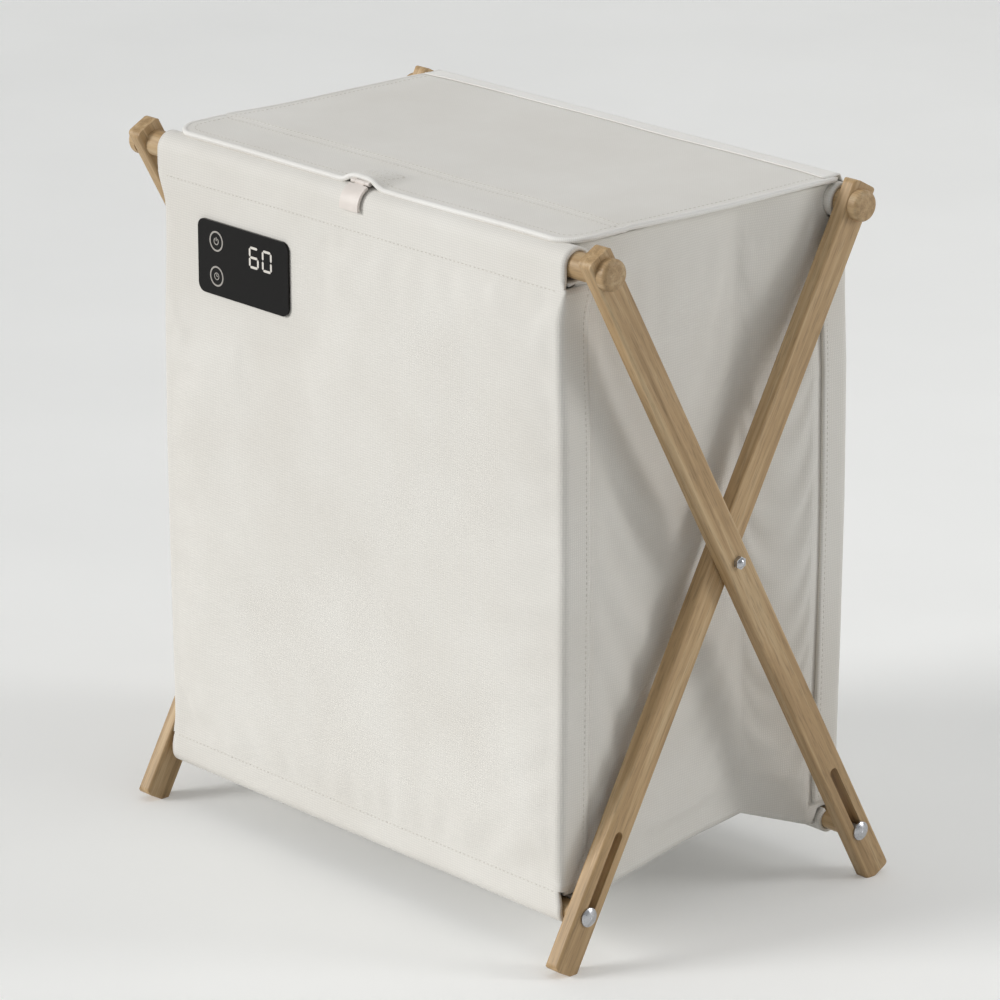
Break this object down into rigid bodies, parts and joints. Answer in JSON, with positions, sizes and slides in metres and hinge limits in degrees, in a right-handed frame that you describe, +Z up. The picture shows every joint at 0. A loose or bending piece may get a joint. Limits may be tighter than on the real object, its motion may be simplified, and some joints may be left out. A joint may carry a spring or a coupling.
{
  "type": "folding towel warmer",
  "caption": "Collapsible fabric towel warmer on crossed wooden legs, with heated front and rear walls, a hinged locking lid and a small control panel with press buttons.",
  "frame": {"origin": "centre of the footprint on the floor, midway between the feet", "axes": "+Z up, -Y the front with the control panel, X along the width, the control panel on the -X side"},
  "size_m": [0.5842, 0.3608, 0.6],
  "materials": {
    "natural_wood": "oiled pale beech, satin",
    "bolt_steel": "nickel-plated steel, satin",
    "bush_plastic": "moulded nylon",
    "cover_fabric": "coated off-white woven polyester",
    "lining_fabric": "smooth heat-resistant lining",
    "heater_sheet": "glass-fibre carrier",
    "heating_foil": "etched alloy foil",
    "white_plastic": "moulded, satin",
    "panel_black": "glossy black",
    "housing_plastic": "fine spark texture",
    "circuit_board": "solder mask",
    "button_black": "glossy black with a pale ring",
    "board_card": "polypropylene board",
    "white_piping": "corded binding"
  },
  "bodies": {
    "frame_a": {"leg_a_left": "natural_wood", "leg_a_right": "natural_wood", "rear_top_rail": "natural_wood", "rear_rail_bolts": "bolt_steel", "rear_rail_caps": "natural_wood", "pivot_bolts": "bolt_steel", "pivot_washers": "bolt_steel", "pivot_nuts": "bolt_steel"},
    "frame_b": {"leg_b_left": "natural_wood", "leg_b_right": "natural_wood", "front_top_rail": "natural_wood", "front_rail_bolts": "bolt_steel", "front_rail_caps": "natural_wood"},
    "front_slide": {"front_bottom_rail": "natural_wood", "front_slide_bolts": "bolt_steel", "front_slide_bushes": "bush_plastic"},
    "rear_slide": {"rear_bottom_rail": "natural_wood", "rear_slide_bolts": "bolt_steel", "rear_slide_bushes": "bush_plastic"},
    "front_wall": {"front_panel": "cover_fabric", "front_heater_mat": "heater_sheet", "front_heating_track": "heating_foil", "front_lining": "lining_fabric", "front_bottom_hem": "cover_fabric", "front_thermal_fuse": "white_plastic", "lock_keeper": "bolt_steel", "control_panel": "panel_black", "control_housing": "housing_plastic", "control_back_cover": "housing_plastic", "control_board": "circuit_board", "display_module": "housing_plastic", "button_switches": "housing_plastic", "control_screws": "bolt_steel"},
    "power_button": {"power_button": "button_black"},
    "timer_button": {"timer_button": "button_black"},
    "rear_wall": {"rear_panel": "cover_fabric", "rear_heater_mat": "heater_sheet", "rear_heating_track": "heating_foil", "rear_lining": "lining_fabric", "rear_bottom_hem": "cover_fabric", "rear_thermal_fuse": "white_plastic", "power_inlet": "housing_plastic", "inlet_pins": "bolt_steel", "side_gusset_left": "cover_fabric", "side_gusset_right": "cover_fabric", "bottom_panel": "cover_fabric"},
    "lid": {"lid_cover": "cover_fabric", "lid_board": "board_card", "lid_piping": "white_piping", "lock_base": "white_plastic", "lock_pin": "bolt_steel"},
    "lock": {"lock_tab": "white_plastic"}
  },
  "joints": [
    {"name": "fold", "type": "hinge", "parent": "frame_a", "child": "frame_b", "pos_m": [0, 0, 0.31463], "axis": [-1, 0, 0], "range_deg": [0, 38], "deforming": ["front_bottom_hem", "rear_bottom_hem", "side_gusset_left", "side_gusset_right", "bottom_panel"]},
    {"name": "front_wall_swing", "type": "hinge", "parent": "frame_b", "child": "front_wall", "pos_m": [0, -0.14493, 0.57976], "axis": [1, 0, 0], "range_deg": [0, 20.4]},
    {"name": "rear_wall_swing", "type": "hinge", "parent": "frame_a", "child": "rear_wall", "pos_m": [0, 0.14493, 0.57976], "axis": [-1, 0, 0], "range_deg": [0, 20.4]},
    {"name": "front_rail_slide", "type": "slide", "parent": "frame_a", "child": "front_slide", "axis": [0, 0.4797, 0.8774], "range_m": [0, 0.0672]},
    {"name": "rear_rail_slide", "type": "slide", "parent": "frame_b", "child": "rear_slide", "axis": [0, -0.4797, 0.8774], "range_m": [0, 0.0672]},
    {"name": "lid_hinge", "type": "hinge", "parent": "rear_wall", "child": "lid", "pos_m": [0, 0.14493, 0.59486], "axis": [-1, 0, 0], "range_deg": [0, 100]},
    {"name": "lock_hinge", "type": "hinge", "parent": "lid", "child": "lock", "pos_m": [0, -0.14963, 0.59806], "axis": [-1, 0, 0], "range_deg": [0, 100]},
    {"name": "power_press", "type": "slide", "parent": "front_wall", "child": "power_button", "axis": [0, 1, 0], "range_m": [0, 0.001], "stiffness_N_per_m": 400, "springref_m": -0.0015},
    {"name": "timer_press", "type": "slide", "parent": "front_wall", "child": "timer_button", "axis": [0, 1, 0], "range_m": [0, 0.001], "stiffness_N_per_m": 400, "springref_m": -0.0015}
  ],
  "couplings": [
    {"joint": "front_wall_swing", "follows": "fold", "ratio": 0.53553},
    {"joint": "rear_wall_swing", "follows": "fold", "ratio": 0.53553},
    {"joint": "front_rail_slide", "follows": "fold", "m_per_rad": 0.10104},
    {"joint": "rear_rail_slide", "follows": "fold", "m_per_rad": 0.10104}
  ]
}
